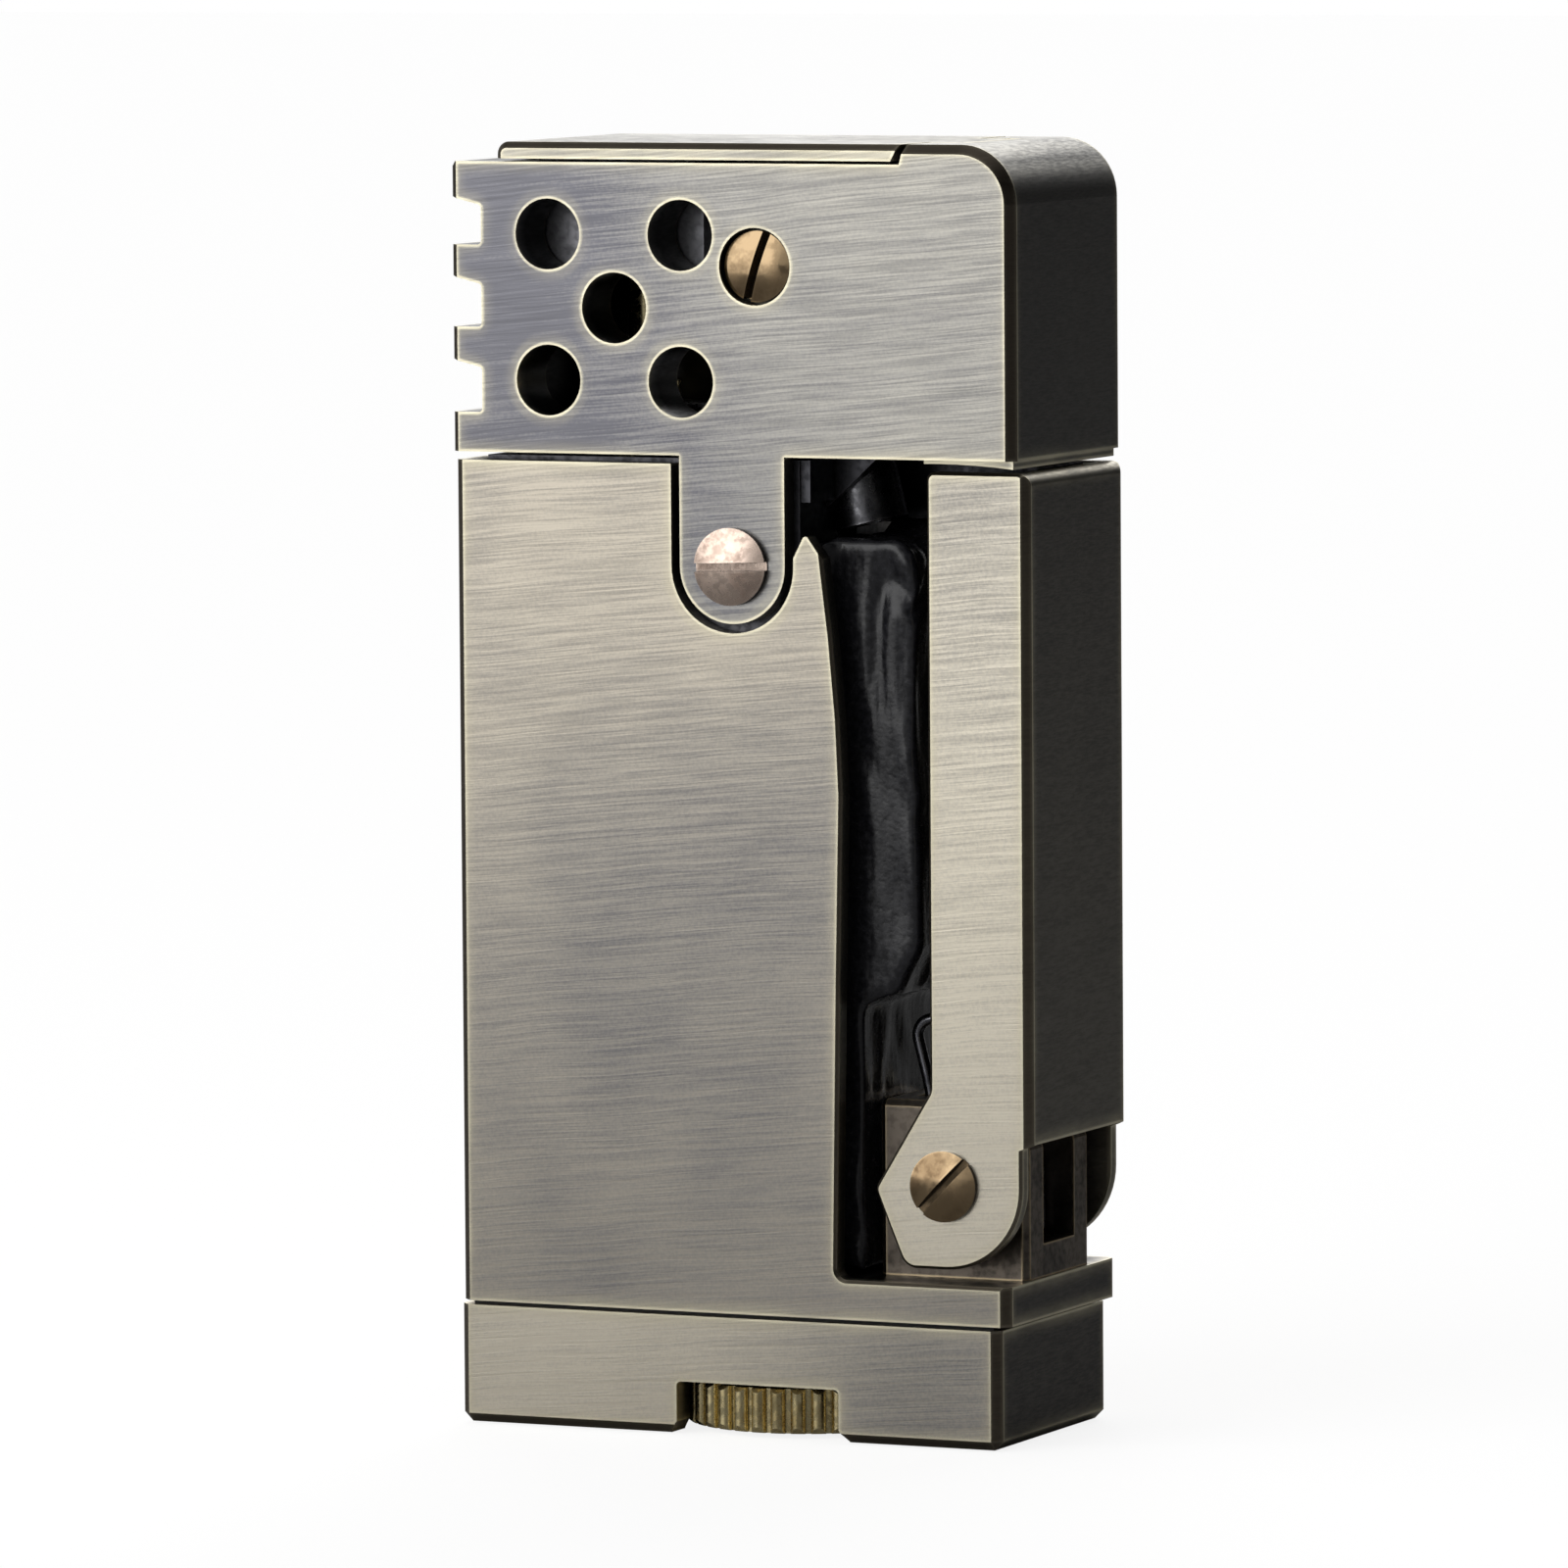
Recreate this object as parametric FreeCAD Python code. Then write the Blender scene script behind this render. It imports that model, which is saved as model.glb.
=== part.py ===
import FreeCAD, Part
import math
import os

# Pocket flint lighter with a side squeeze lever.  Millimetres.
# Frame: X to the right, Y from the front face to the back face, Z up.
# Origin: middle of the flat underside.
# Widths are given from the object's left side and turned into X by across().

# ---------------------------------------------------------------- driving sizes
WIDTH = 29.9            # over the lever
DEPTH = 13.0
HEIGHT = 62.0

BEVEL = 0.45            # worn bevel on the long outer edges
FINE_BEVEL = 0.15       # broken edge on cut-outs
SKIN = 1.0              # casing plate
RUN = 0.04              # radial clearance of a turning fit
FIT = 0.01              # radial clearance of a fixed fit

BASE_W = 28.5
BASE_TOP = 5.75
BODY_LEFT = 0.1
BODY_BOTTOM = 5.95
LEDGE_W = 29.0
LEDGE_TOP = 7.85
BODY_TOP = 46.7

HEAD_W = 29.5
HEAD_BOTTOM = 47.1
HEAD_WALL = 3.2         # front and back walls of the cast head
HEAD_SIDE = 2.3         # left wall of the head, behind the comb
HEAD_CORNER = 2.8
LID_SEAT = 61.05        # top of the head's walls under the lid
LID_UNDER = 61.2

NOTCH_U, NOTCH_Z = 14.83, 41.85     # round end of the head's tongues
TONGUE_R = 2.75
NOTCH_R = 3.2
TONGUE_T = 1.05

LID_LEFT = 2.45
SEAM_U = 23.2           # lid's right end at its underside
LID_LEAN = 0.42         # how far that end leans out towards its top
HEAD_SEAM_U = 23.65     # head's matching edge, leaning too
HEAD_LEAN = 0.25
LID_PIN_U, LID_PIN_Z = 24.9, 60.6
LID_PIN_R = 0.5
LID_KNUCKLE_R = 1.4
LID_KNUCKLE_Y = 3.0     # half width of the hinge tongue

VENT_R = 1.7
VENTS = [(5.2, 57.6), (12.2, 57.6), (8.7, 54.1), (5.2, 50.6), (12.2, 50.6)]
COMB = [(59.35, 58.95, 57.05), (55.55, 55.15, 53.1), (51.55, 51.15, 49.0)]
COMB_DEPTH = 1.65

AXLE_U, AXLE_Z = 16.1, 56.15        # spark wheel axle
AXLE_R = 1.0
WHEEL_R = 3.4
WHEEL_Y = 1.5           # half thickness of the spark wheel

LEVER_INSET = 0.7       # lever flanges stand this far behind the casing faces
LEVER_T = 0.8
LEVER_LEFT = 24.65
LEVER_TOP = 46.5
SPINE_BOTTOM = 14.6
PIVOT_U, PIVOT_Z = 25.4, 12.5
LEVER_FOOT_R = 4.0
PIVOT_R = 1.2

BRACKET_LEFT, BRACKET_RIGHT = 21.1, 28.8
BRACKET_Y = 3.7
BRACKET_TOP = 16.3
BRACKET_SLOT_Y = 1.85

ADJUST_U = 15.8         # flame wheel axis
ADJUST_R = 6.3
ADJUST_TEETH = 38
ADJUST_Z0, ADJUST_Z1 = 0.2, 2.35

JET_U = 7.4             # burner axis
PLATFORM_Z0, PLATFORM_Z1 = 44.9, 46.9
FLINT_TILT = 14.0       # flint tube leans this far from upright, in degrees

SCREW_HEAD_R = 1.7
TONGUE_HEAD_R = 1.86
SLOT_W = 0.42

FRONT = -DEPTH / 2
BACK = DEPTH / 2


# ---------------------------------------------------------------- helpers
def across(u):
    """X of a point u to the right of the object's left side."""
    return u - WIDTH / 2


def block(u0, u1, y0, y1, z0, z1):
    corner = FreeCAD.Vector(across(u0), y0, z0)
    return Part.makeBox(u1 - u0, y1 - y0, z1 - z0, corner)


def rod_y(u, z, radius, y0, y1):
    """Round bar along the depth."""
    start = FreeCAD.Vector(across(u), y0, z)
    return Part.makeCylinder(radius, y1 - y0, start, FreeCAD.Vector(0, 1, 0))


def rod_z(u, y, radius, z0, z1):
    """Upright round bar."""
    return Part.makeCylinder(radius, z1 - z0, FreeCAD.Vector(across(u), y, z0))


def plate(outline, y0, y1):
    """Outline of (u, z) corners; a corner with a third value is rounded to that radius."""
    points = [FreeCAD.Vector(across(p[0]), y0, p[1]) for p in outline]
    radii = [p[2] if len(p) > 2 else 0.0 for p in outline]
    count = len(points)
    starts, ends, arcs = [], [], []
    for i in range(count):
        here, before, after = points[i], points[i - 1], points[(i + 1) % count]
        if radii[i] == 0.0:
            starts.append(here)
            ends.append(here)
            arcs.append(None)
            continue
        to_before = (before - here).normalize()
        to_after = (after - here).normalize()
        half = to_before.getAngle(to_after) / 2
        set_back = radii[i] / math.tan(half)
        middle_way = (to_before + to_after).normalize()
        middle = here + middle_way * (radii[i] / math.sin(half) - radii[i])
        first = here + to_before * set_back
        last = here + to_after * set_back
        starts.append(first)
        ends.append(last)
        arcs.append(Part.Arc(first, middle, last).toShape())
    edges = []
    for i in range(count):
        if arcs[i] is not None:
            edges.append(arcs[i])
        edges.append(Part.LineSegment(ends[i], starts[(i + 1) % count]).toShape())
    face = Part.Face(Part.Wire(edges))
    return face.extrude(FreeCAD.Vector(0, y1 - y0, 0))


def round_end_plate(u, z_centre, radius, z_top, y0, y1):
    """Strip that hangs down from z_top and ends in a half circle."""
    strip = block(u - radius, u + radius, y0, y1, z_centre, z_top)
    return strip.fuse(rod_y(u, z_centre, radius, y0, y1)).removeSplitter()


def bevel(shape, size, wanted):
    """Bevel every edge whose middle point satisfies wanted(x, y, z, edge)."""
    chosen = []
    for edge in shape.Edges:
        middle = edge.valueAt((edge.FirstParameter + edge.LastParameter) / 2)
        if wanted(middle.x, middle.y, middle.z, edge):
            chosen.append(edge)
    return shape.makeChamfer(size, chosen)


def runs_along(edge, axis):
    """True for a straight edge along the given axis (0, 1 or 2)."""
    if edge.Curve.TypeId != "Part::GeomLine":
        return False
    box = edge.BoundBox
    lengths = (box.XLength, box.YLength, box.ZLength)
    return lengths[axis] > 0.9 * edge.Length


def near(a, b):
    return abs(a - b) < 0.02


def revolved(profile, axis_u, axis_y):
    """Turn a closed (radius, z) profile about an upright axis."""
    points = [FreeCAD.Vector(across(axis_u) + r, axis_y, z) for r, z in profile]
    face = Part.Face(Part.makePolygon(points + [points[0]]))
    return face.revolve(FreeCAD.Vector(across(axis_u), axis_y, 0), FreeCAD.Vector(0, 0, 1), 360)


def slotted_screw(head_r, head_h, dome, shank_r, length, slot_angle):
    """Screw along +Y with its head's outer rim at y=0 and its shank behind the head."""
    head = Part.makeCylinder(head_r, head_h, FreeCAD.Vector(0, 0, 0), FreeCAD.Vector(0, 1, 0))
    ball_r = (head_r ** 2 + dome ** 2) / (2 * dome)
    ball = Part.makeSphere(ball_r, FreeCAD.Vector(0, ball_r - dome, 0))
    keep = Part.makeCylinder(head_r, dome, FreeCAD.Vector(0, -dome, 0), FreeCAD.Vector(0, 1, 0))
    head = head.fuse(ball.common(keep))
    corner = FreeCAD.Vector(-2 * head_r, -dome, -SLOT_W / 2)
    cutter = Part.makeBox(4 * head_r, dome + 0.75 * head_h, SLOT_W, corner)
    cutter.rotate(FreeCAD.Vector(0, 0, 0), FreeCAD.Vector(0, -1, 0), slot_angle)
    shank = Part.makeCylinder(shank_r, length, FreeCAD.Vector(0, head_h, 0), FreeCAD.Vector(0, 1, 0))
    return head.cut(cutter).fuse(shank).removeSplitter()


def coil(radius, wire_r, pitch, height):
    """Helical compression spring standing on z=0 about the Z axis."""
    helix = Part.makeHelix(pitch, height, radius)
    start = FreeCAD.Vector(radius, 0, 0)
    circle = Part.Wire(Part.makeCircle(wire_r, start, FreeCAD.Vector(0, 1, 0)))
    return Part.Wire(helix).makePipeShell([circle], True, True)


def tube_along(points, wire_r, bend_r):
    """Round wire through the points, with each inner corner bent to bend_r."""
    edges = []
    here = points[0]
    for i in range(1, len(points) - 1):
        to_before = (points[i - 1] - points[i]).normalize()
        to_after = (points[i + 1] - points[i]).normalize()
        half = to_before.getAngle(to_after) / 2
        set_back = bend_r / math.tan(half)
        first = points[i] + to_before * set_back
        last = points[i] + to_after * set_back
        middle_way = (to_before + to_after).normalize()
        middle = points[i] + middle_way * (bend_r / math.sin(half) - bend_r)
        edges.append(Part.LineSegment(here, first).toShape())
        edges.append(Part.Arc(first, middle, last).toShape())
        here = last
    edges.append(Part.LineSegment(here, points[-1]).toShape())
    path = Part.Wire(edges)
    direction = (points[1] - points[0]).normalize()
    circle = Part.Wire(Part.makeCircle(wire_r, points[0], direction))
    return path.makePipeShell([circle], True, True)


def flint_place(shape):
    """Move a piece modelled down the Z axis from the wheel's centre into the tilted flint bore."""
    shape.rotate(FreeCAD.Vector(0, 0, 0), FreeCAD.Vector(0, -1, 0), FLINT_TILT)
    shape.translate(FreeCAD.Vector(across(AXLE_U), 0, AXLE_Z))
    return shape


# ---------------------------------------------------------------- body
def casing_outline():
    """Front plate: tongue notch, hooked tip and the long cut-away beside the lever."""
    left = BODY_LEFT
    return [
        (left, BODY_BOTTOM),
        (LEDGE_W, BODY_BOTTOM),
        (LEDGE_W, LEDGE_TOP),
        (20.0, LEDGE_TOP, 0.55),
        (20.25, 22.2),
        (20.45, 31.0),
        (20.3, 34.6),
        (19.95, 38.6),
        (19.5, 42.3),
        (18.65, 43.5, 0.16),
        (NOTCH_U + NOTCH_R, 42.3),
        (NOTCH_U + NOTCH_R, BODY_TOP + 2),
        (left, BODY_TOP + 2),
    ]


def body_casing():
    slab = plate(casing_outline(), FRONT, BACK)
    above = block(-2, WIDTH + 2, FRONT - 1, BACK + 1, BODY_TOP, BODY_TOP + 4)
    right_of_notch = block(NOTCH_U, WIDTH, FRONT - 1, BACK + 1, 43.6, BODY_TOP + 4)
    notch = round_end_plate(NOTCH_U, NOTCH_Z, NOTCH_R, BODY_TOP + 4, FRONT - 1, BACK + 1)
    slab = slab.cut(above.fuse(right_of_notch).fuse(notch)).removeSplitter()
    slab = bevel(slab, BEVEL, lambda x, y, z, e: near(x, across(BODY_LEFT)) and runs_along(e, 2))
    slab = bevel(slab, BEVEL, lambda x, y, z, e: near(x, across(LEDGE_W)) and runs_along(e, 2))
    slab = bevel(slab, FINE_BEVEL, lambda x, y, z, e: near(abs(y), BACK) and across(18.8) < x < across(24)
                 and LEDGE_TOP + 0.5 < z < 42.2)
    room = block(BODY_LEFT + SKIN, WIDTH + 2, FRONT + SKIN, BACK - SKIN, LEDGE_TOP, BODY_TOP + 4)
    valve_hole = rod_z(ADJUST_U, 0, 3.05, 0, LEDGE_TOP + 1)
    body = slab.cut(room).cut(valve_hole)
    for u, _ in BASE_SCREWS:
        body = body.cut(rod_z(u, 0, 0.98 + FIT, 0, LEDGE_TOP + 1))
    return body


BASE_SCREWS = [(4.3, 6.1), (PIVOT_U, 7.9)]     # place and shank length


def base_cap():
    cap = block(0, BASE_W, FRONT, BACK, 0, BASE_TOP)
    cap = bevel(cap, BEVEL, lambda x, y, z, e: runs_along(e, 2) or near(z, 0))
    notch = [
        (11.1, -1),
        (11.1, 0.05),
        (11.55, 0.6),
        (11.55, 2.55, 0.25),
        (20.1, 2.55, 0.25),
        (20.1, 0.6),
        (20.5, 0.05),
        (20.5, -1),
    ]
    cap = cap.cut(plate(notch, FRONT - 1, BACK + 1))
    cap = cap.cut(rod_z(ADJUST_U, 0, ADJUST_R + 0.25, -1, 2.55))
    cap = cap.cut(rod_z(ADJUST_U, 0, 3.05, 2, BASE_TOP + 1))
    for u, _ in BASE_SCREWS:
        cap = cap.cut(rod_z(u, 0, 1.05, -1, BASE_TOP + 1))
        cap = cap.cut(rod_z(u, 0, 1.9, -1, 1.6))
    return cap


def base_gasket():
    """Thin dark sheet that fills the seam between cap and casing."""
    sheet = block(0.55, BASE_W - 0.5, FRONT + 0.5, BACK - 0.5, BASE_TOP, BODY_BOTTOM)
    sheet = sheet.cut(rod_z(ADJUST_U, 0, 3.05, 0, 10))
    for u, _ in BASE_SCREWS:
        sheet = sheet.cut(rod_z(u, 0, 1.1, 0, 10))
    return sheet


def base_screws():
    """Two screws from below: one ends in the casing's floor, the longer one in the lever's bracket."""
    screws = []
    for u, length in BASE_SCREWS:
        screw = slotted_screw(1.8, 0.9, 0.15, 0.98, length, 25)
        screw.rotate(FreeCAD.Vector(0, 0, 0), FreeCAD.Vector(1, 0, 0), 90)
        screw.translate(FreeCAD.Vector(across(u), 0, 0.7))
        screws.append(screw)
    return Part.makeCompound(screws)


def flame_adjust_wheel():
    """Knurled ring around the filler valve."""
    pitch = 2 * math.pi / ADJUST_TEETH
    valley = ADJUST_R - 0.42
    centre = across(ADJUST_U)

    def at(radius, angle):
        return FreeCAD.Vector(centre + radius * math.cos(angle), radius * math.sin(angle), ADJUST_Z0)

    edges = []
    for i in range(ADJUST_TEETH):
        a = i * pitch
        tooth_end = at(valley, a + 0.72 * pitch)
        edges.append(Part.Arc(at(valley, a), at(ADJUST_R, a + 0.36 * pitch), tooth_end).toShape())
        edges.append(Part.LineSegment(tooth_end, at(valley, a + pitch)).toShape())
    blank = Part.Face(Part.Wire(edges)).extrude(FreeCAD.Vector(0, 0, ADJUST_Z1 - ADJUST_Z0))
    profile = [(0, ADJUST_Z0), (ADJUST_R - 0.3, ADJUST_Z0), (ADJUST_R + 0.1, ADJUST_Z0 + 0.4),
               (ADJUST_R + 0.1, ADJUST_Z1 - 0.3), (ADJUST_R - 0.2, ADJUST_Z1), (0, ADJUST_Z1)]
    rim = revolved(profile, ADJUST_U, 0)
    return blank.common(rim).cut(rod_z(ADJUST_U, 0, 2.0 + RUN, -1, 5))


# ---------------------------------------------------------------- fuel
TANK_BOTTOM = 8.0
TANK_TOP = 44.8
TANK_SHOULDER = 43.3


def fuel_tank():
    """Black tank: fills the casing, then steps in beside the lever and round the chassis leg."""
    main = block(1.3, 18.9, -5.3, 5.3, TANK_BOTTOM, TANK_TOP)
    foot = block(18.9, 20.7, -4.5, 4.5, TANK_BOTTOM, TANK_SHOULDER)
    side_outline = [(18.9, 20.5), (22.4, 21.2), (23.6, 23.6), (23.6, TANK_SHOULDER, 1.4),
                    (18.9, TANK_SHOULDER)]
    side = plate(side_outline, -4.5, 4.5)
    tank = main.fuse(foot).fuse(side).removeSplitter()
    tank = tank.cut(block(11.4, 30, -7, 7, TANK_SHOULDER, 50))
    tank = tank.cut(block(11.4, 18.3, -7, 7, 37.9, 50))
    tank = tank.cut(block(2.2, 18.0, -4.4, 4.4, TANK_BOTTOM + 0.9, 37.0))
    tank = tank.cut(block(2.2, 10.5, -4.4, 4.4, 36.0, TANK_TOP - 0.9))
    tank = tank.cut(block(18.0, 22.6, -3.6, 3.6, 24.0, 42.4))
    tank = tank.cut(rod_z(ADJUST_U, 0, 2.0 + FIT, 0, 12))
    tank = tank.cut(rod_z(JET_U, 0, 1.9 + FIT, 40, 50))
    return tank


def filler_valve():
    """Brass valve: nose inside the flame wheel, collar under the tank, threaded end in the tank."""
    profile = [(0.7, 0.45), (1.75, 0.45), (2.0, 0.7), (2.0, 3.0), (2.9, 3.0), (2.9, 7.6), (2.0, 7.6),
               (2.0, 11.4), (0.7, 11.4)]
    return revolved(profile, ADJUST_U, 0)


def filler_seal():
    """Washer between the valve's collar and the tank."""
    return rod_z(ADJUST_U, 0, 2.9, 7.6, TANK_BOTTOM).cut(rod_z(ADJUST_U, 0, 2.0 + FIT, 7, 9))


def filler_stem():
    return rod_z(ADJUST_U, 0, 0.7 - RUN, 0.7, 13.2).fuse(rod_z(ADJUST_U, 0, 1.25, 13.2, 13.8))


def burner_valve():
    """Valve body screwed into the tank's top, with a collar on the chassis platform."""
    profile = [(0.9 + RUN, 41.6), (1.9, 41.6), (1.9, PLATFORM_Z1), (2.3, PLATFORM_Z1), (2.3, 48.0),
               (0.9 + RUN, 48.0)]
    return revolved(profile, JET_U, 0)


def valve_seal():
    """O-ring sheet between tank and platform."""
    return rod_z(JET_U, 0, 2.9, TANK_TOP, PLATFORM_Z0).cut(rod_z(JET_U, 0, 1.9 + FIT, 40, 50))


def burner_jet():
    """Jet with the collar that the valve lever lifts."""
    profile = [(0.25, 43.0), (0.9, 43.0), (0.9, 49.5), (1.6, 49.5), (1.6, 50.3), (0.9, 50.3), (0.9, 55.6),
               (0.55, 56.0), (0.55, 56.8), (0.25, 56.8)]
    return revolved(profile, JET_U, 0)


# ---------------------------------------------------------------- chassis
def chassis():
    """Die-cast frame between tank and head: platform, leg for the tongue screws, flint boss, side wing."""
    platform = block(1.35, 18.4, -5.3, 5.3, PLATFORM_Z0, PLATFORM_Z1)
    leg = block(11.9, 17.9, -5.4, 5.4, 38.1, PLATFORM_Z1)
    boss = block(15.6, 20.6, -2.4, 1.7, PLATFORM_Z1, 49.4)
    wing = block(17.9, 23.9, 3.1, 4.7, TANK_SHOULDER + 0.2, PLATFORM_Z1)
    lug = plate([(17.9, PLATFORM_Z1), (20.6, PLATFORM_Z1), (17.9, 44.4)], -2.4, 1.7)
    frame = platform.fuse(leg).fuse(boss).fuse(lug).fuse(wing).removeSplitter()
    frame = frame.cut(block(11.0, 14.9, -3.4, 3.4, PLATFORM_Z1 - 1.2, 50))
    frame = frame.cut(rod_y(NOTCH_U, NOTCH_Z, 0.9 + FIT, -7, 7))
    frame = frame.cut(rod_z(JET_U, 0, 1.9 + FIT, 40, 50))
    frame = frame.cut(flint_place(Part.makeCylinder(1.8 + FIT, 16, FreeCAD.Vector(0, 0, -16))))
    return frame


def flint_tube():
    tube = Part.makeCylinder(1.8, 9.1, FreeCAD.Vector(0, 0, -12.9))
    bore = Part.makeCylinder(1.3, 12, FreeCAD.Vector(0, 0, -14))
    return flint_place(tube.cut(bore))


def flint():
    return flint_place(Part.makeCylinder(1.25, 3.9, FreeCAD.Vector(0, 0, -WHEEL_R - 0.05 - 3.9)))


def flint_spring():
    spring = coil(0.95, 0.17, 0.75, 3.4)
    spring.translate(FreeCAD.Vector(0, 0, -11.0))
    return flint_place(spring)


def flint_plug():
    """Slotted plug that holds the flint spring in its tube."""
    plug = Part.makeCylinder(1.3 - FIT, 1.4, FreeCAD.Vector(0, 0, -12.8))
    slot = Part.makeBox(3, 0.4, 0.5, FreeCAD.Vector(-1.5, -0.2, -12.8))
    return flint_place(plug.cut(slot))


# ---------------------------------------------------------------- head
def comb_slot(mouth_top, root_top, bottom):
    """Wind slot in the left edge: flat below, leaning roof above."""
    return plate([(-1, bottom), (COMB_DEPTH, bottom, 0.2), (COMB_DEPTH, root_top, 0.2), (0, mouth_top),
                  (-1, mouth_top)], FRONT - 1, BACK + 1)


SKIRT_R = 34.4                       # arc just above the path of the lever's top corner


def head_shell():
    seat_right = HEAD_SEAM_U
    outline = [
        (0, HEAD_BOTTOM),
        (HEAD_W, HEAD_BOTTOM),
        (HEAD_W, HEIGHT, HEAD_CORNER),
        (seat_right + HEAD_LEAN, HEIGHT),
        (seat_right, LID_SEAT),
        (0.25, LID_SEAT),
        (0, LID_SEAT - 0.25),
    ]
    head = plate(outline, FRONT, BACK)
    head = bevel(head, 0.35, lambda x, y, z, e: near(x, across(0)) and runs_along(e, 2))
    rim_left = across(26.9)
    rim_low = HEAD_BOTTOM + 0.1
    head = bevel(head, BEVEL, lambda x, y, z, e: near(abs(y), BACK) and x > rim_left and z > rim_low)
    for slot in COMB:
        head = head.cut(comb_slot(*slot))
    skirt = block(24.6, HEAD_W - 0.3, FRONT + 0.6, BACK - 0.3, LEVER_TOP - 0.2, HEAD_BOTTOM + 0.2)
    head = head.fuse(skirt.cut(rod_y(PIVOT_U, PIVOT_Z, SKIRT_R, -7, 7)))
    inner = BACK - HEAD_WALL
    room = plate([
        (HEAD_SIDE, HEAD_BOTTOM - 1),
        (HEAD_W - SKIN, HEAD_BOTTOM - 1),
        (HEAD_W - SKIN, HEIGHT - SKIN, HEAD_CORNER - SKIN),
        (seat_right, HEIGHT - SKIN),
        (seat_right, HEIGHT + 1),
        (HEAD_SIDE, HEIGHT + 1),
    ], -inner, inner)
    head = head.cut(room)
    gap_y = LID_KNUCKLE_Y + 0.15
    knuckle_room = block(SEAM_U, LID_PIN_U, -gap_y, gap_y, 58, HEIGHT + 1)
    knuckle_round = rod_y(LID_PIN_U, LID_PIN_Z, LID_KNUCKLE_R + 0.12, -gap_y, gap_y)
    head = head.cut(knuckle_room).cut(knuckle_round)
    for u, z in VENTS:
        head = head.cut(rod_y(u, z, VENT_R, FRONT - 1, BACK + 1))
    head = head.cut(rod_y(AXLE_U, AXLE_Z, 1.85, FRONT - 1, FRONT + 1.1))
    head = head.cut(rod_y(AXLE_U, AXLE_Z, AXLE_R + FIT, FRONT - 1, BACK + 1))
    head = head.cut(rod_y(LID_PIN_U, LID_PIN_Z, LID_PIN_R + FIT, -5.4, 5.4))
    head = head.cut(rod_y(VALVE_PIN_U, VALVE_PIN_Z, 0.5 + FIT, -4.6, 4.6))
    for y0, y1 in ((FRONT, FRONT + TONGUE_T), (BACK - TONGUE_T, BACK)):
        tongue = round_end_plate(NOTCH_U, NOTCH_Z, TONGUE_R, HEAD_BOTTOM + 0.5, y0, y1)
        tongue = tongue.cut(rod_y(NOTCH_U, NOTCH_Z, 0.9 + FIT, FRONT - 1, BACK + 1))
        head = head.fuse(tongue)
    return head.removeSplitter()


def tongue_screws():
    """Domed slotted screws through the head's tongues into the chassis leg, front and back."""
    front = slotted_screw(TONGUE_HEAD_R, 0.35, 0.3, 0.9, 4.4, 2)
    front.translate(FreeCAD.Vector(across(NOTCH_U), FRONT - 0.35, NOTCH_Z))
    back = slotted_screw(TONGUE_HEAD_R, 0.35, 0.3, 0.9, 4.4, 38)
    back.rotate(FreeCAD.Vector(0, 0, 0), FreeCAD.Vector(0, 0, 1), 180)
    back.translate(FreeCAD.Vector(across(NOTCH_U), BACK + 0.35, NOTCH_Z))
    return Part.makeCompound([front, back])


def axle_screw():
    """Shouldered screw that carries the spark wheel and drive arm right across the head."""
    screw = slotted_screw(SCREW_HEAD_R, 0.8, 0.22, AXLE_R, 11.4, 72)
    screw.translate(FreeCAD.Vector(across(AXLE_U), FRONT + 0.3, AXLE_Z))
    return screw


# ---------------------------------------------------------------- lid
HEEL_Y = 1.2
HOOD = (3.0, 12.15, 3.05, 55.95)     # left, right, half width, underside


def lid():
    """Flat lid with a hinge tongue and, under the hinge, the heel that the slider pushes."""
    top = plate([(LID_LEFT, LID_UNDER), (SEAM_U, LID_UNDER), (SEAM_U + LID_LEAN, HEIGHT),
                 (LID_LEFT, HEIGHT, 0.6)], FRONT, BACK)
    rim_right = across(SEAM_U - 1)
    top = bevel(top, 0.3, lambda x, y, z, e: near(abs(y), BACK) and z > LID_UNDER + 0.3 and x < rim_right)
    half = LID_KNUCKLE_Y
    tongue = block(SEAM_U - 1.5, LID_PIN_U, -half, half, LID_UNDER, HEIGHT)
    knuckle = rod_y(LID_PIN_U, LID_PIN_Z, LID_KNUCKLE_R, -half, half)
    heel = plate([(LID_PIN_U - 1.0, LID_PIN_Z), (LID_PIN_U + 1.0, LID_PIN_Z), (26.35, 56.0, 0.4),
                  (25.95, 54.95, 0.4), (25.15, 55.4, 0.4)], -HEEL_Y, HEEL_Y)
    piece = top.fuse(tongue).fuse(knuckle).fuse(heel)
    return piece.cut(rod_y(LID_PIN_U, LID_PIN_Z, LID_PIN_R + RUN, -7, 7)).removeSplitter()


def lid_hinge_pin():
    return rod_y(LID_PIN_U, LID_PIN_Z, LID_PIN_R, -5.3, 5.3)


def snuffer_hood():
    """Open-bottomed cap under the lid that shuts off the flame."""
    left, right, half, under = HOOD
    wall = 0.6
    hood = block(left, right, -half, half, under, LID_UNDER)
    hood = bevel(hood, 0.3, lambda x, y, z, e: runs_along(e, 2))
    inner = half - wall
    return hood.cut(block(left + wall, right - wall, -inner, inner, under - 1, LID_UNDER - wall))


def snuffer_pad():
    return rod_z(JET_U, 0, 1.6, 57.0, LID_UNDER - 0.6)


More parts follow.
